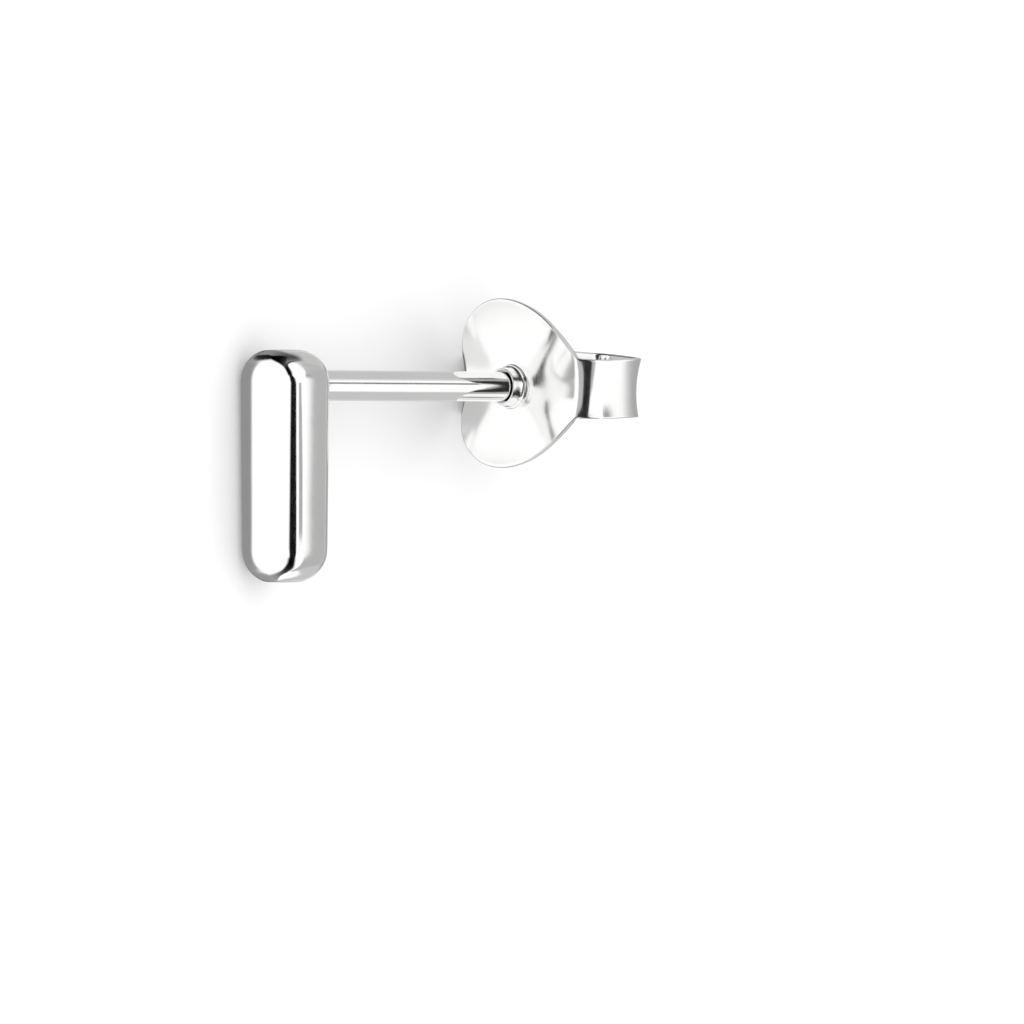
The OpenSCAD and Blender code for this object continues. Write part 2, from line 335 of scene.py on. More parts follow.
def fillet_line(theta):
    uneven = UNEVEN_TWICE * math.sin(2 * theta + UNEVEN_START) + UNEVEN_FIVE * math.sin(5 * theta)
    reach = SOLDER_R * (1 + uneven)
    foot = back_of_bar((POST_R + reach) * math.sin(theta))
    line = [(r, -BAR_D / 2) for r in (0.0, (POST_R + reach) * 0.5, POST_R + reach)]
    line.append((POST_R + reach, foot - FOOT_DEPTH))
    low = foot - FOOT_SINK
    for a in np.radians(np.linspace(270, 180, FILLET_STEPS + 1)):
        line.append((POST_R + reach * (1 + math.cos(a)), low + (SOLDER_R - low) * (1 + math.sin(a))))
    return line


print("each line of the fillet has", len(fillet_line(0.0)), "points")

# %% The post, as rings round its axis
POST_SIDES = 96
around = np.linspace(0, 2 * math.pi, POST_SIDES, endpoint=False)


def post_ring(profile_points):
    """A ring with one profile point, as distance from the axis and height, for each side."""
    return [[r * math.cos(t), y, r * math.sin(t)] for (r, y), t in zip(profile_points, around)]


post_rings = [post_ring(level) for level in zip(*[fillet_line(t) for t in around])]
post_rings += [post_ring([p] * POST_SIDES) for p in upper_profile]
post = mesh_object("post", np.concatenate(post_rings), skin_over_rings(len(post_rings), POST_SIDES))

# %% [markdown]
# ## Soldered together
# On the real stud the bar and the post are one piece of metal once they are soldered. Two meshes
# that only overlap would leave hidden faces inside. An exact union joins them into one closed
# skin, as the printer or the caster would need it.

# %% Join the bar and the post
union = bar.modifiers.new("solder", "BOOLEAN")
union.operation = "UNION"
union.solver = "EXACT"
union.object = post
bpy.context.view_layer.update()
joined = bpy.data.meshes.new_from_object(bar.evaluated_get(bpy.context.evaluated_depsgraph_get()))
bar.modifiers.clear()
bar.data = joined
bar.name = joined.name = "bar_with_post"
bpy.data.objects.remove(post)
for face in joined.polygons:
    face.use_smooth = True
print("bar_with_post:", len(joined.polygons), "faces after the union")

# %% [markdown]
# ## The clutch's path
# The clutch is one strip of sheet. The plate is in its middle, and a tab at each side is bent back
# and rolled inwards until its end lies along the post. Seen from above, each half of the strip is
# a line of straight and curved stretches. A curve with handles could be drawn by eye, but it keeps
# no length. So each stretch is written as a length and the angle that it turns by, as a bending
# plan would say it.

# %% The bending plan of one half of the strip
SHEET_T, PLATE_H, PLATE_W = 0.2, 4.5, 4.66
PLATE_RUN, PLATE_TURN = PLATE_W / 2 - 0.08, 16.6
ROOT_R, REAR_R, LOOP_R = 0.65, 0.5, 0.4
WALL_L, BACK_L, GRIP_L = 1.36, 1.18778, 0.9
ROOT_CUT = 0.15


def bent(radius, turn):
    return [math.radians(turn) * radius, turn]


# The root's bend is a wide one, so both stretches beside it are ROOT_CUT shorter.
plan = [[PLATE_RUN - ROOT_CUT, PLATE_TURN], bent(ROOT_R, 90 - PLATE_TURN), [WALL_L - ROOT_CUT, 10]]
plan += [bent(REAR_R, 65), [BACK_L, 5], bent(LOOP_R, 100), [GRIP_L, 0]]
lengths, turns = np.array(plan).T
starts = np.concatenate([[0], np.cumsum(lengths)])
STRIP_L = starts[-1]
print("half strip:", round(STRIP_L, 3), "mm long in", len(plan), "stretches")

# %% The corners between the stretches


def advance(heading, length, turn):
    """How far a stretch carries the path: straight, or along an arc of the given turn."""
    if abs(turn) < 1e-9:
        return length * np.array([math.cos(heading), math.sin(heading)])
    r, end = length / turn, heading + turn
    return r * np.array([math.sin(end) - math.sin(heading), math.cos(heading) - math.cos(end)])


corners, headings = [np.zeros(2)], [0.0]
for length, turn in zip(lengths, np.radians(turns)):
    corners.append(corners[-1] + advance(headings[-1], length, turn))
    headings.append(headings[-1] + turn)
print("the grip's end is", round(corners[-1][0], 3), "mm from the axis")

# %% A point of the path, and its outward direction, at a distance s from the hole


def along(s):
    k = min(len(lengths) - 1, int(np.searchsorted(starts, s, side="right")) - 1)
    turn = math.radians(turns[k]) * (s - starts[k]) / lengths[k]
    heading = headings[k] + turn
    outward = np.array([math.sin(heading), -math.cos(heading)])
    return corners[k] + advance(headings[k], s - starts[k], turn), outward


print("the widest place of the half strip:", round(max(along(s)[0][0] for s in starts), 2), "mm")

# %% [markdown]
# ## The plate's outline and its hollow
# The blank is an ellipse with two tabs, and the press leaves it hollow: its top and bottom edges
# stand forward, and a shallow channel runs along the tabs. Where a tab starts, the sheet changes
# from one shape to the other over a short distance. One formula for the half height and one for
# the hollow cover the whole strip, so there is no seam between plate and tab.

# %% Half height of the strip, and the height of its middle
TAB_H, OUTLINE_POWER = 1.58, 6
PLATE_RISE, LOOP_SKEW = 0.09, 0.047


def plate_half(s):
    return PLATE_H / 2 * math.sqrt(max(0.0, 1 - (s / (PLATE_W / 2)) ** 2))


def strip_half(s):
    return (plate_half(s) ** OUTLINE_POWER + (TAB_H / 2) ** OUTLINE_POWER) ** (1 / OUTLINE_POWER)


def strip_middle(s):
    """The plate sits a little above the hole, and the loops climb by their skew."""
    return PLATE_RISE * plate_half(s) / (PLATE_H / 2) + LOOP_SKEW * max(0.0, s - starts[2])


print("height at the hole and at the root:", [round(2 * strip_half(s), 2) for s in (0, starts[1])])

# %% How deep the press leaves the strip hollow
PLATE_DISH, CHANNEL_DEPTH, DISH_TO = 0.47, 0.1, 0.6 * PLATE_RUN


def hollow(s):
    k = min(1.0, max(0.0, (s - DISH_TO) / (starts[3] - DISH_TO)))
    plate, channel = PLATE_DISH / (PLATE_H / 2) ** 2, CHANNEL_DEPTH / (TAB_H / 2) ** 2
    return plate + (channel - plate) * k


print("the plate's top stands", round(hollow(0) * plate_half(0) ** 2, 2), "mm forward of its middle")

# %% [markdown]
# ### Wings that don't follow the bend
# Where the strip bends back into a tab, the plate's wings above and below the tab stay as they are,
# while the tab follows the bend. So each point of the sheet follows the path by a share, which is
# whole in the tab and fades out into the wings.

# %% The share by which the sheet follows the path's bend
FOLLOW_AT_HOLE, FOLLOW_AT_ROOT, FOLLOW_PAST_ROOT, PAST_ROOT_L = 0.9, 0.87, 3, 0.45


def follow(s, z):
    at_root = min(1.0, s / PLATE_RUN)
    past_root = max(0.0, s - PLATE_RUN) / PAST_ROOT_L
    w = TAB_H / 2 * (FOLLOW_AT_HOLE + FOLLOW_AT_ROOT * at_root**2 + FOLLOW_PAST_ROOT * past_root)
    return 1 / (1 + abs(z / w) ** 3)


print("share at the root, at the tab's edge:", round(follow(PLATE_RUN, TAB_H / 2), 2))

# %% A point of the sheet at s and z, at a depth below its front skin


def sheet_point(s, z, depth):
    at, out = along(s)
    lifted = at + out * hollow(s) * z * z
    flat = np.array([at[0], -hollow(s) * z * z])
    f = follow(s, z)
    facing = out * f + np.array([0.0, -1.0]) * (1 - f)
    p = flat + (lifted - flat) * f - facing / np.linalg.norm(facing) * depth
    return np.array([p[0], p[1], z])


print("front skin beside the hole:", np.round(sheet_point(0.0, 0.0, 0.0), 3))

# %% [markdown]
# ## Rings across the sheet
# Stamped sheet has slightly rounded edges. A solidify modifier would give the sheet a thickness,
# but with sharp edges. So each ring runs over the front skin, round one edge, back along the rear
# skin and round the other edge. The rings lie close together in the tight bends, where reflections
# change fastest.

# %% One ring across the strip
EDGE_R, EDGE_STEPS, ACROSS, THINNEST_R = 0.05, 5, 64, 0.004
edge_angles = np.radians(np.linspace(0, 90, EDGE_STEPS + 1))


def strip_ring(s, inset=0.0):
    half, middle, r = strip_half(s) - inset, strip_middle(s), max(EDGE_R - inset, THINNEST_R)
    rear = SHEET_T - inset
    rows = middle + np.linspace(-1, 1, ACROSS + 1) * (half - r)
    between = edge_angles[1:-1]
    ring = [sheet_point(s, z, inset) for z in rows]

    def edge(side, angles, skin, inwards):
        """Adds points of one rounded edge, next to the skin at the given depth."""
        for a in angles:
            z, depth = middle + side * (half - r + r * math.sin(a)), skin + inwards * r * (1 - math.cos(a))
            ring.append(sheet_point(s, z, depth))

    edge(1, between, inset, 1)
    ring.extend(sheet_point(s, middle + half, depth) for depth in (inset + r, rear - r))
    edge(1, between[::-1], rear, -1)
    ring.extend(sheet_point(s, z, rear) for z in rows[::-1])
    edge(-1, between, rear, -1)
    ring.extend(sheet_point(s, middle - half, depth) for depth in (rear - r, inset + r))
    edge(-1, between[::-1], inset, 1)
    return ring


ring_points = len(strip_ring(0.0))
print("each ring has", ring_points, "points")

# %% All rings, from the middle of the plate to the end of the grip
STRETCH_STEPS = [34, 22, 10, 18, 8, 22, 8]
stations = []
for k, steps in enumerate(STRETCH_STEPS):
    share = np.sin(np.radians(90 * np.arange(steps) / steps)) if k == 0 else np.arange(steps) / steps
    stations += list(starts[k] + lengths[k] * share)
stations.append(STRIP_L - EDGE_R)
strip_rings = [strip_ring(s) for s in stations]
for a in edge_angles[1:]:
    strip_rings.append(strip_ring(STRIP_L - EDGE_R + EDGE_R * math.sin(a), EDGE_R * (1 - math.cos(a))))
print("half strip:", len(strip_rings), "rings")

# %% [markdown]
# ## The hole and its collar
# The hole is pierced and drawn forward in one stroke, which leaves a short, thin-walled collar
# round the post, and a rounded funnel on the rear side. A collar that is joined on by a boolean
# would meet the hollow plate in a hard line. So the middle of the strip's grid is left open, and
# rings that change from the grid's outline to a circle fill it. They carry on up the outside of the
# collar, over its lip, down the hole and out again on the rear.

# %% Open the grid where the collar stands
OPEN_R = 0.84
first_row = next(i for i in range(ACROSS + 1) if strip_rings[0][i][2] > -OPEN_R)
last_row = max(i for i in range(ACROSS + 1) if strip_rings[0][i][2] < OPEN_R)
last_column = max(j for j in range(len(stations)) if stations[j] < OPEN_R)
rear_row = {i: ACROSS + 2 * EDGE_STEPS + (ACROSS - i) for i in range(ACROSS + 1)}
strip_faces = []
for j in range(len(strip_rings) - 1):
    for i in range(ring_points):
        front_open = j < last_column and first_row <= i < last_row
        rear_open = j < last_column and rear_row[last_row] <= i < rear_row[first_row]
        if not (front_open or rear_open):
            a, b = j * ring_points + i, j * ring_points + (i + 1) % ring_points
            strip_faces.append((a, b, b + ring_points, a + ring_points))
print("opened", last_column, "columns by", last_row - first_row, "rows")

# %% Close the end of the grip
end_base = (len(strip_rings) - 1) * ring_points
end_faces = [(i, i + 1, rear_row[i + 1], rear_row[i]) for i in range(ACROSS)]
end_faces += [range(ACROSS, rear_row[ACROSS] + 1), [*range(rear_row[0], ring_points), 0]]
strip_faces += [tuple(end_base + q for q in face) for face in end_faces]
print("the grip's end is closed with", len(end_faces), "faces")

# %% The collar's profile, as distance from the axis and height
HOLE_R, LIP_R, COLLAR_H, LIP_ROUND = 0.44, 0.49, 0.4, 0.025
STEP_R, STEP_ROUND, FOOT_FILLET, FUNNEL_R, CONE_R = 0.585, 0.03, 0.03, 0.07, 0.5
fillet_r = STEP_R + FOOT_FILLET
foot = arc([fillet_r, -FOOT_FILLET], FOOT_FILLET, 90, 180, 6)
step = arc([STEP_R - STEP_ROUND, -2 * STEP_ROUND], STEP_ROUND, 0, -70, 6)
cone = np.array([[0.545, -0.1], [0.528, -0.125], [0.517, -0.165], [0.508, -0.22], [CONE_R, -0.29]])
lip = arc([LIP_R - LIP_ROUND, LIP_ROUND - COLLAR_H], LIP_ROUND, -8, -180, 12)
bore = np.column_stack([np.full(5, HOLE_R), np.linspace(-0.3, 0.1, 5)])
funnel = arc([HOLE_R + FUNNEL_R, SHEET_T - FUNNEL_R], FUNNEL_R, 180, 90, 8)
collar_profile = np.concatenate([foot, step, cone, lip, bore, funnel])
print("collar profile:", len(collar_profile), "points, foot radius", round(fillet_r, 3))

# %% The edge of the opening, point by point


def edge_of_opening(front):
    """Column and row of each grid point round the opening, in the front or the rear skin."""
    rows = {i: i if front else rear_row[i] for i in range(first_row, last_row + 1)}
    loop = [(j, rows[first_row]) for j in range(last_column + 1)]
    loop += [(last_column, rows[i]) for i in range(first_row + 1, last_row + 1)]
    loop += [(j, rows[last_row]) for j in range(last_column - 1, -1, -1)]
    return loop


def grid_sz(j, i):
    """The distances s and z that a point of the grid was made from."""
    s = stations[j]
    return s, strip_middle(s) + (2 * i / ACROSS - 1) * (strip_half(s) - EDGE_R)


front_loop, rear_loop = edge_of_opening(True), edge_of_opening(False)
loop_sz = np.array([grid_sz(j, i) for j, i in front_loop])
print("the opening's edge has", len(front_loop), "points in each skin")

# %% The circle that the rings change to
loop_angle = np.arctan2(loop_sz[:, 1], loop_sz[:, 0])
loop_angle[0], loop_angle[-1] = -math.pi / 2, math.pi / 2
circle = np.column_stack([np.cos(loop_angle), np.sin(loop_angle)])
spread = np.linspace(0, 1, 7)[1:-1]


def smooth(t):
    """A share between 0 and 1 that starts and ends gently."""
    t = np.clip(t, 0, 1)
    return t * t * (3 - 2 * t)


print("rings between the grid and the circle:", len(spread))

# %% Rings over the front and the collar


def dished(s, z, r, y):
    """A height of the collar, eased into the dished plate with growing distance from the axis."""
    return sheet_point(s, z, 0)[1] * smooth((r - CONE_R) / (fillet_r - CONE_R)) + y


front_rings = []
for t in spread:
    sz = loop_sz + (circle * fillet_r - loop_sz) * t
    front_rings.append([sheet_point(max(0, s), z, 0) for s, z in sz])
for r, y in collar_profile:
    front_rings.append([[r * c, dished(max(0, r * c), r * d, r, y), r * d] for c, d in circle])
print("front and collar:", len(front_rings), "rings")

# %% Rings over the rear, from the funnel back to the grid
rear_edge = HOLE_R + FUNNEL_R
rear_rings = []
for t in spread:
    ring = []
    for s, z in circle * rear_edge + (loop_sz - circle * rear_edge) * t:
        r = math.hypot(s, z)
        k = smooth((r - rear_edge) / (fillet_r - rear_edge))
        on_sheet = sheet_point(max(0, s), z, SHEET_T)
        ring.append(np.array([s, dished(max(0, s), z, r, SHEET_T), z]) * (1 - k) + on_sheet * k)
    rear_rings.append(ring)
print("rear:", len(rear_rings), "rings")

# %% [markdown]
# ## Both halves, set on the post
# The die is the same on both sides, so the second half is the first one mirrored. A mirror modifier
# could do that, but the halves are welded in the same step as all other points. A clutch never sits
# quite straight on its post: it leans and turns by a degree or two before it grips.

# %% Points and faces of one half
rim = [[strip_rings[j][i] for j, i in front_loop]] + front_rings + rear_rings
rim.append([strip_rings[j][i] for j, i in rear_loop])
grid_points = np.concatenate(strip_rings)
half_points = np.concatenate([grid_points, np.concatenate(rim)])
rim_faces = skin_over_rings(len(rim), len(circle), closed=False)
half_faces = strip_faces + [tuple(q + len(grid_points) for q in face) for face in rim_faces]
print("one half:", len(half_points), "points and", len(half_faces), "faces")

# %% The whole clutch
LEAN, CLUTCH_TURN, CLUTCH_Y = math.radians(-0.6), math.radians(1.7), 7.37277
offset = len(half_points)
clutch_points = np.concatenate([half_points, half_points * [-1, 1, 1]])
clutch_faces = half_faces + [tuple(q + offset for q in face[::-1]) for face in half_faces]
on_post = clutch_points @ (turn_about_y(CLUTCH_TURN) @ turn_about_x(LEAN)).T + [0, CLUTCH_Y, 0]
clutch = mesh_object("clutch_of_sheet", on_post, clutch_faces)

# %% [markdown]
# ## Places in the frame
# The frame knows two bodies: the stud, and the clutch that slides on it. Each mesh rides on its
# body and stands in for the CAD solid with the same name, which is hidden.
# The print shows how far each mesh stands off its solid's box.

# %% Give each piece its place in the frame
for piece, body, node, slot in [
    (bar, "stud", "bar_and_post", "stud_silver"),
    (clutch, "clutch", "butterfly_clutch", "clutch_silver"),
]:
    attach(piece, body)
    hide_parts(node)
    low, high = np.array(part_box(node))
    points = np.array([v.co for v in piece.data.vertices])
    off = np.concatenate([points.min(0) - low, points.max(0) - high]) * 1000
    print(piece.name, "stands off the CAD solid's box by at most", round(float(abs(off).max()), 3), "mm")

# %% [markdown]
# ## Polished silver
# Silver reflects almost all light, a little more of the red than of the blue, so it looks nearly
# white. A metal has no colour of its own besides its reflection: its look comes from how smooth it
# is. A single value for roughness would look like plastic film. Real polished silver has faint
# waves that the casting and the polishing wheel leave, and hairlines that only show in the
# highlights. Both are made with bump nodes, from noise at the right scale.

# %% Helpers for noise in millimetres, and for bumps made from it
MM_PER_METRE = 1000


def places_in_mm(nodes, links):
    place = nodes.new("ShaderNodeTexCoord")
    in_mm = nodes.new("ShaderNodeVectorMath")
    in_mm.operation = "SCALE"
    in_mm.inputs["Scale"].default_value = MM_PER_METRE
    links.new(place.outputs["Object"], in_mm.inputs[0])
    return in_mm.outputs[0]


def noise(nodes, links, places, scale, detail):
    texture = nodes.new("ShaderNodeTexNoise")
    texture.inputs["Scale"].default_value = scale
    texture.inputs["Detail"].default_value = detail
    links.new(places, texture.inputs["Vector"])
    return texture.outputs["Fac"]


def bump(nodes, links, height, depth_mm):
    node = nodes.new("ShaderNodeBump")
    node.inputs["Strength"].default_value = 1.0
    node.inputs["Distance"].default_value = depth_mm / MM_PER_METRE
    links.new(height, node.inputs["Height"])
    return node


print("places on a piece are multiplied by", MM_PER_METRE, "to count in millimetres")

# %% A helper that makes one silver
DARKER_SILVER, LIGHTER_SILVER = (0.90, 0.90, 0.895, 1), (0.94, 0.94, 0.935, 1)
NOISE_LOW, NOISE_HIGH = 0.3, 0.7


def silver(name, wave_mm, wave_depth, hair_depth, hair_scale, roughness):
    """Polished silver with faint waves of wave_mm and hairlines along one direction."""
    material = bpy.data.materials.new(name)
    material.use_nodes = True
    nodes, links = material.node_tree.nodes, material.node_tree.links
    shader = nodes["Principled BSDF"]
    shader.inputs["Metallic"].default_value = 1.0
    in_mm = places_in_mm(nodes, links)
    waves = noise(nodes, links, in_mm, 1 / wave_mm, 1.0)
    wave_bump = bump(nodes, links, waves, wave_depth)
    stretch = nodes.new("ShaderNodeMapping")
    stretch.inputs["Scale"].default_value = hair_scale
    links.new(in_mm, stretch.inputs["Vector"])
    hairs = noise(nodes, links, stretch.outputs[0], 1.0, 3.0)
    hair_bump = bump(nodes, links, hairs, hair_depth)
    links.new(wave_bump.outputs["Normal"], hair_bump.inputs["Normal"])
    links.new(hair_bump.outputs["Normal"], shader.inputs["Normal"])

    dull = nodes.new("ShaderNodeMapRange")
    dull.inputs["From Min"].default_value = NOISE_LOW
    dull.inputs["From Max"].default_value = NOISE_HIGH
    dull.inputs["To Min"].default_value = roughness[0]
    dull.inputs["To Max"].default_value = roughness[1]
    links.new(hairs, dull.inputs["Value"])
    links.new(dull.outputs["Result"], shader.inputs["Roughness"])
    tone = nodes.new("ShaderNodeMix")
    tone.data_type = "RGBA"
    tone.inputs[6].default_value = DARKER_SILVER
    tone.inputs[7].default_value = LIGHTER_SILVER
    links.new(waves, tone.inputs[0])
    links.new(tone.outputs[2], shader.inputs["Base Color"])
    print(name, "has", len(nodes), "nodes and a roughness of", roughness)
    return material


print("silver's tones:", DARKER_SILVER[:3], LIGHTER_SILVER[:3])

# %% [markdown]
# ### Two finishes
# The bar is polished by hand until it is nearly a mirror, and its hairlines run along it. The
# clutch is only tumbled after stamping, so it is a little duller. Its hairlines run up and down the
# plate. Both silvers come from one helper, so that they stay the same metal.

# %% The silver of each piece
bar.data.materials.clear()
bar.data.materials.append(silver("polished_cast_silver", 1.6, 0.004, 0.00006, (3, 1.2, 40), (0.05, 0.10)))
clutch.data.materials.append(silver("pressed_sheet_silver", 0.9, 0.004, 0.0001, (2, 30, 30), (0.11, 0.17)))

# %% [markdown]
# ## A pale floor
# The stud lies on plain white paper. The floor isn't part of the object.
# It doesn't show in the silver: the dome below the horizon takes its place there, as a second
# sheet of paper would if the stud hung in a light tent.

# %% The floor
FLOOR_HALF, PAPER_WHITE = 3, (0.93, 0.93, 0.93, 1)
floor_corners = [(x * FLOOR_HALF, y * FLOOR_HALF, 0) for x, y in [(-1, -1), (1, -1), (1, 1), (-1, 1)]]
floor_mesh = bpy.data.meshes.new("floor")
floor_mesh.from_pydata(floor_corners, [], [(0, 1, 2, 3)])
floor = bpy.data.objects.new("floor", floor_mesh)
bpy.context.scene.collection.objects.link(floor)
paper = bpy.data.materials.new("white_paper")
paper.use_nodes = True
paper_shader = paper.node_tree.nodes["Principled BSDF"]
paper_shader.inputs["Base Color"].default_value = PAPER_WHITE
paper_shader.inputs["Roughness"].default_value = 0.9
paper_shader.inputs["Specular IOR Level"].default_value = 0.1
floor.data.materials.append(paper)
floor.visible_glossy = False
print("floor:", 2 * FLOOR_HALF, "m wide")

# %% [markdown]
# ## The light tent
# Silver is photographed in a tent of white paper, because it shows whatever stands round it. A few
# dark and grey cards in the tent give it its dark lines: without them it would vanish against a
# white background. Lamps would only add hard bright spots. The tent and its far cards are painted
# on the world, by direction, so they are soft and far away. Each card is given by the direction in
# which it is seen from the worn stud: its azimuth, turned from straight in front towards +x, and
# its height above the level.

# %% The white tent
WHITE = 1.12
world = bpy.data.worlds.new("light_tent")
bpy.context.scene.world = world
world.use_nodes = True
tree = world.node_tree
direction = tree.nodes.new("ShaderNodeTexCoord").outputs["Generated"]
tent = tree.nodes.new("ShaderNodeValue")
tent.outputs[0].default_value = WHITE
coats = [tent.outputs[0]]
print("the tent's paper has a brightness of", WHITE)

# %% Helpers that calculate with nodes


def link_or_set(socket, value):
    """Gives a socket a plain number, or the output of another node."""
    if isinstance(value, (int, float)):
        socket.default_value = value
    else:
        tree.links.new(value, socket)


def math_node(operation, *values):
    node = tree.nodes.new("ShaderNodeMath")
    node.operation = operation
    for socket, value in zip(node.inputs, values):
        link_or_set(socket, value)
    return node.outputs[0]


def in_degrees(operation, *values):
    return math_node("MULTIPLY", math_node(operation, *values), 180 / math.pi)


print("nodes in the tent so far:", len(tree.nodes))

# %% Helpers for a direction's share along an axis, and for a soft step


def component(axis):
    node = tree.nodes.new("ShaderNodeVectorMath")
    node.operation = "DOT_PRODUCT"
    tree.links.new(direction, node.inputs[0])
    node.inputs[1].default_value = tuple(axis)
    return node.outputs["Value"]


def ramp(value, start, end):
    node = tree.nodes.new("ShaderNodeMapRange")
    node.interpolation_type = "SMOOTHSTEP"
    tree.links.new(value, node.inputs["Value"])
    node.inputs["From Min"].default_value = start
    node.inputs["From Max"].default_value = end
    return node.outputs["Result"]


print("nodes in the tent so far:", len(tree.nodes))

# %% Azimuth and height of a direction
# The azimuth runs from -60 to 300 degrees, so it has no jump behind the stud, where most cards are.
AZIMUTH_MIDDLE = 120


def from_azimuth(degrees):
    a = math.radians(degrees)
    return LAID @ np.array([math.sin(a), -math.cos(a), 0])


ahead, aside = component(from_azimuth(AZIMUTH_MIDDLE)), component(from_azimuth(AZIMUTH_MIDDLE + 90))
azimuth = math_node("ADD", in_degrees("ARCTAN2", aside, ahead), float(AZIMUTH_MIDDLE))
height = in_degrees("ARCSINE", component(LAID[:, 2]))
print("azimuth 0 lies along", np.round(from_azimuth(0), 3))

# %% A helper that paints a soft-edged card on the tent


def paint_over(mask, value):
    """Paints a brightness over the tent where the mask is 1."""
    mix = tree.nodes.new("ShaderNodeMix")
    mix.data_type = "FLOAT"
    for socket, source in zip((mix.inputs[0], mix.inputs[2], mix.inputs[3]), (mask, coats[-1], value)):
        link_or_set(socket, source)
    coats.append(mix.outputs[0])


def between(value, start, end, soft):
    return math_node("MULTIPLY", ramp(value, start - soft, start + soft), ramp(value, end + soft, end - soft))


def card(az, el, soft, value):
    """A card from azimuth az[0] to az[1] and height el[0] to el[1], with soft edges."""
    paint_over(math_node("MULTIPLY", between(azimuth, *az, soft[0]), between(height, *el, soft[1])), value)


print("nodes in the tent so far:", len(tree.nodes))

# %% [markdown]
# ### What stands behind the stud
# Most of what the bar's side, the post and the clutch's loops show lies behind the stud. Each card
# here is one shade of it, and a later card covers an earlier one. The last one is a narrow dark
# strip a little above the level. It is all that draws the thin dark line along the post.

# %% The far cards: azimuth, height, softness of both, brightness
FAR_CARDS = {
    "rear wall": [(150, 240), (-52, 38), (6, 5), 0.72],
    "rear floor": [(142, 310), (-50, -30), (6, 4), 0.59],
    "rear right": [(149, 200), (-32, 28), (4, 5), 0.42],
    "low left": [(262, 310), (-26, -8), (5, 4), 0.86],
    "dark left rear": [(228, 272), (-35, 30), (5, 8), 0.15],
    "high left": [(262, 310), (4, 24), (5, 4), 0.58],
    "rear roof": [(132, 262), (30, 95), (10, 9), 0.58],
    "line along the post": [(131.5, 138), (9, 17), (1.5, 4), 0.1],
}
for place in FAR_CARDS.values():
    card(*place)
print("far cards:", ", ".join(FAR_CARDS))

# %% [markdown]
# ### The dark frame round the window
# The bar's front shows a bright window, and its soft edge shows what frames the window: as the
# edge turns away from the front, it sees directions further and further off. So the frame is
# painted as bands round the front. Each band is a list of places round it. Each place has its turn,
# where 0 is to the right and 90 is up, how far from the front the band starts and ends there, in
# degrees, and how bright it is there. A colour ramp reads all three numbers at once.

# %% Turn about the front, and distance from it
FRONT_AZ = 5
round_front = in_degrees("ARCTAN2", component(LAID[:, 2]), component(from_azimuth(FRONT_AZ + 90)))
off_front = in_degrees("ARCCOSINE", component(from_azimuth(FRONT_AZ)))
print("the bar's front faces azimuth", FRONT_AZ)

# %% A helper that paints a band round the front


def band(name, places, soft, turns, soft_turns):
    """A band over the places, from turns[0] to turns[1], with soft[0] and soft[1] degrees of edge."""
    over_turn = tree.nodes.new("ShaderNodeValToRGB")
    tree.links.new(math_node("MULTIPLY", math_node("ADD", round_front, 180.0), 1 / 360), over_turn.inputs[0])
    stops = over_turn.color_ramp.elements
    while len(stops) < len(places):
        stops.new(0.5)
    for stop, (at, start, end, grey) in zip(stops, places):
        stop.position = (at + 180) / 360
        stop.color = (start / 180, end / 180, grey, 1)
    split = tree.nodes.new("ShaderNodeSeparateColor")
    tree.links.new(over_turn.outputs[0], split.inputs[0])
    start, end = (math_node("MULTIPLY", split.outputs[i], 180.0) for i in (0, 1))
    past_start = ramp(math_node("SUBTRACT", off_front, start), -soft[0], soft[0])
    before_end = ramp(math_node("SUBTRACT", end, off_front), -soft[1], soft[1])
    inside = math_node("MULTIPLY", past_start, before_end)
    paint_over(math_node("MULTIPLY", inside, between(round_front, *turns, soft_turns)), split.outputs[2])
    print(name, "runs over", len(places), "places, from turn", turns[0], "to", turns[1])


print("nodes in the tent so far:", len(tree.nodes))

# %% Over the window: the black band, and the grey above it
over = [[20, 62, 91, 0.004], [30, 58, 89, 0.006], [40, 54, 86, 0.008], [50, 51, 84, 0.012]]
over += [[58, 49.3, 82, 0.02], [64, 48, 112, 0.06], [72, 47.3, 116, 0.06], [80, 46.8, 118, 0.035]]
over += [[90, 47.2, 118, 0.012], [100, 48, 118, 0.004], [110, 49.5, 118, 0.002]]
over += [[120, 52.2, 118, 0.002], [130, 56, 118, 0.002], [140, 62, 118, 0.01], [150, 68, 118, 0.05]]
over += [[160, 66, 118, 0.15]]
band("black band", over, (5, 5), (22, 153), 4)
grey_over = [[64, 74, 125, 0.24], [72, 77, 125, 0.20], [80, 98, 125, 0.10], [90, 110, 125, 0.07]]
grey_over += [[100, 102, 125, 0.10], [110, 91, 125, 0.14], [120, 83, 125, 0.21], [130, 80, 125, 0.25]]
grey_over += [[140, 86, 125, 0.27], [150, 97, 125, 0.17]]
band("grey above it", grey_over, (5, 6), (66, 153), 4)

# %% Under the window: grey at the left, black towards the right
under = [[-160, 64, 119, 0.32], [-150, 69, 119, 0.32], [-140, 72.5, 119, 0.32], [-130, 73.5, 119, 0.34]]
under += [[-120, 72.5, 115, 0.36], [-110, 71.5, 104, 0.30], [-100, 71.5, 99, 0.20], [-90, 73, 101, 0.11]]
under += [[-80, 76, 107, 0.06], [-70, 78, 109, 0.03], [-60, 81, 110, 0.012], [-50, 84, 109, 0.004]]
under += [[-40, 84, 107, 0.002], [-30, 82, 105, 0.002], [-20, 82, 104, 0.002]]
band("band under the window", under, (8, 3), (-155, -25), 4)

# %% [markdown]
# ### Light for the paper
# The cards belong to the silver alone. If they also shaded the paper, it would turn grey. So light
# that is scattered by a matt surface comes from a plain tent, a little brighter than white paper.

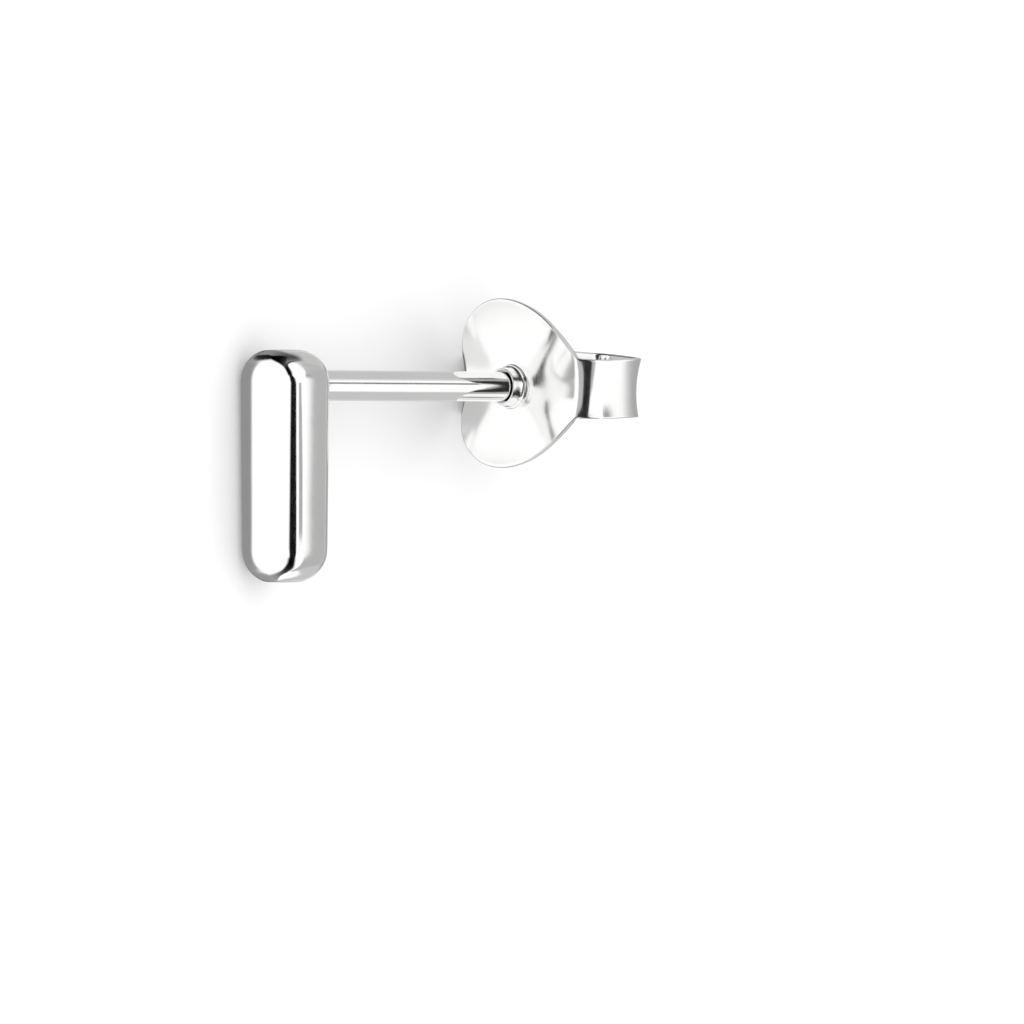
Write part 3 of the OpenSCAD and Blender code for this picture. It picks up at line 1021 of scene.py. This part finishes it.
# %% Switch between the painted tent and the plain one
PAPER_LIGHT = 1.3
on_paper = tree.nodes.new("ShaderNodeMix")
on_paper.data_type = "FLOAT"
tree.links.new(tree.nodes.new("ShaderNodeLightPath").outputs["Is Diffuse Ray"], on_paper.inputs[0])
tree.links.new(coats[-1], on_paper.inputs[2])
on_paper.inputs[3].default_value = PAPER_LIGHT
background = tree.nodes["Background"]
tree.links.new(on_paper.outputs[0], background.inputs["Strength"])
background.inputs["Color"].default_value = (1, 1, 1, 1)
print("the tent has", len(coats) - 1, "painted coats and", len(tree.nodes), "nodes")

# %% [markdown]
# ## Cards close to the stud
# A jewellery photographer holds small cards within a finger's width of the piece. Being near, each
# part of the stud sees them in another direction, which a painted dome can't do. Each card is a
# curved strip between a left and a right line of points, given as worn. It fades out at its edges,
# shows only in reflections, and casts no shadow.

# %% The grid of one card, and how far it covers at each point
CARD_COLUMNS, CARD_SPLIT = 20, 10


def card_grid(left, right, soft_sides, soft_ends):
    left, right = np.array(left, float), np.array(right, float)
    u = np.linspace(0, 1, CARD_COLUMNS + 1)
    rows, cover = [], []
    for level in np.linspace(0, len(left) - 1, (len(left) - 1) * CARD_SPLIT + 1):
        i = min(int(level), len(left) - 2)
        a = left[i] + (left[i + 1] - left[i]) * (level - i)
        b = right[i] + (right[i + 1] - right[i]) * (level - i)
        rows.append(a + (b - a) * u[:, None])
        v = level / (len(left) - 1)
        ends = smooth(v / soft_ends[0]) * smooth((1 - v) / soft_ends[1])
        cover.append(smooth(u / soft_sides[0]) * smooth((1 - u) / soft_sides[1]) * ends)
    return rows, np.concatenate(cover).astype(np.float32)


print("a card has", CARD_COLUMNS, "columns, and", CARD_SPLIT, "rows between two levels")

# %% The glow of one card, which fades out where it doesn't cover


def card_paint(name, grey):
    paint = bpy.data.materials.new(name)
    paint.use_nodes = True
    nodes, links = paint.node_tree.nodes, paint.node_tree.links
    nodes.remove(nodes["Principled BSDF"])
    read = nodes.new("ShaderNodeAttribute")
    read.attribute_name = "cover"
    glow = nodes.new("ShaderNodeEmission")
    glow.inputs["Strength"].default_value = grey
    blend = nodes.new("ShaderNodeMixShader")
    links.new(read.outputs["Fac"], blend.inputs[0])
    links.new(nodes.new("ShaderNodeBsdfTransparent").outputs[0], blend.inputs[1])
    links.new(glow.outputs[0], blend.inputs[2])
    links.new(blend.outputs[0], nodes["Material Output"].inputs["Surface"])
    return paint


def near_card(name, left, right, grey, soft_sides, soft_ends):
    rows, cover = card_grid(left, right, soft_sides, soft_ends)
    mesh = bpy.data.meshes.new(name)
    points = [tuple(p) for p in lay_down(np.concatenate(rows))]
    mesh.from_pydata(points, [], skin_over_rings(len(rows), CARD_COLUMNS + 1, False))
    mesh.attributes.new("cover", "FLOAT", "POINT").data.foreach_set("value", cover)
    mesh.materials.append(card_paint(name, grey))
    piece = bpy.data.objects.new(name, mesh)
    bpy.context.scene.collection.objects.link(piece)
    piece.visible_camera = piece.visible_diffuse = piece.visible_shadow = False
    print(name, "covers", round(100 * float(cover.mean())), "percent of its grid, brightness", grey)


print("materials so far:", len(bpy.data.materials))

# %% The black card that draws the dark line down the bar's edge
flag_left = [[7.7, -8.6, 8.8], [7.7, -5.6, 5.0], [7.7, -3.5, 2.2], [7.7, -2.8, 0.2]]
flag_left += [[7.7, -2.7, -4.4], [7.7, -1.6, -8.0], [7.7, -1.2, -11.0]]
flag_right = [[16.9, -8.1, 18.0], [16.9, -3.6, 12.6], [16.9, 0.2, 5.4], [16.9, 2.5, 0.2]]
flag_right += [[16.9, 4.4, -4.4], [16.9, 4.8, -12.6], [16.9, 5.6, -20.6]]
near_card("black_card", flag_left, flag_right, 0.002, (0.2, 0.06), (0.12, 0.08))

# %% The small black card that carries the line round the bar's upper corner
corner_left = [[4.5, -5.4, 5.9], [4.5, -3.9, 4.0], [4.5, -2.5, 1.6], [4.5, -2.1, 1.0], [4.5, -2.0, 0.3]]
corner_right = [[6.0, -3.4, 6.2], [6.0, -2.1, 4.5], [6.0, -0.8, 2.0], [6.0, -0.4, 1.2], [6.0, 0.05, 0.3]]
near_card("black_corner_card", corner_left, corner_right, 0.002, (0.1, 0.15), (0.03, 0.1))

# %% The thin grey wedge beside it
wedge_left = [[13.0, 3.2, 0.3], [13.0, 3.4, -1.1], [13.0, 3.8, -2.4], [13.0, 4.6, -4.6]]
wedge_right = [[13.0, 4.6, 0.3], [13.0, 6.3, -1.1], [13.0, 7.5, -2.4], [13.0, 8.3, -4.6]]
near_card("grey_wedge", wedge_left, wedge_right, 0.43, (0.12, 0.3), (0.05, 0.05))

# %% The grey card behind the bar, which gives its side an even grey
side_left = [[2.9, 3.0, 7.5], [3.1, 3.0, 0.0], [3.1, 3.0, -6.0], [2.8, 3.0, -16.0]]
side_right = [[5.4, 3.0, 7.5], [5.6, 3.0, 0.0], [5.5, 3.0, -5.0], [4.3, 3.0, -15.0]]
near_card("grey_side_card", side_left, side_right, 0.48, (0.1, 0.25), (0.25, 0.1))

# %% The grey card at the left, for the bar's left edge
edge_left = [[-4.8, -5.0, 3.9], [-4.8, -5.0, -8.2]]
edge_right = [[-2.2, 0.2, 2.3], [-2.2, 0.2, -6.6]]
near_card("grey_left_card", edge_left, edge_right, 0.30, (0.12, 0.15), (0.12, 0.12))

# %% [markdown]
# ## The camera
# The photo looks level at the stud from 47 degrees to the side, from so far away that parallel
# edges stay parallel. A long lens does the same. It is placed by the stud's own directions, so on
# the table it looks down at the stud that lies on its side.

# %% The camera
VIEW_AZ, VIEW_DISTANCE, LENS, SENSOR = math.radians(47), 450, 601.2, 36
AIM_RIGHT, AIM_UP = 5.389, -3.334
to_camera = np.array([math.sin(VIEW_AZ), -math.cos(VIEW_AZ), 0])
to_right = np.array([math.cos(VIEW_AZ), math.sin(VIEW_AZ), 0])
straight_up = np.array([0, 0, 1])
camera_place = lay_down(AIM_RIGHT * to_right + AIM_UP * straight_up + VIEW_DISTANCE * to_camera)
camera_axes = np.column_stack([LAID @ to_right, LAID @ straight_up, LAID @ to_camera])
camera_data = bpy.data.cameras.new("camera")
camera_data.sensor_width, camera_data.lens = SENSOR, LENS
camera_data.clip_start, camera_data.clip_end = 0.01, 20
camera = bpy.data.objects.new("camera", camera_data)
bpy.context.scene.collection.objects.link(camera)
camera.matrix_world = Matrix.Translation(camera_place) @ Matrix(camera_axes).to_4x4()
bpy.context.scene.camera = camera
bpy.context.scene.view_settings.view_transform = "Standard"
print("camera height above the table:", round(1000 * camera_place[2]), "mm")
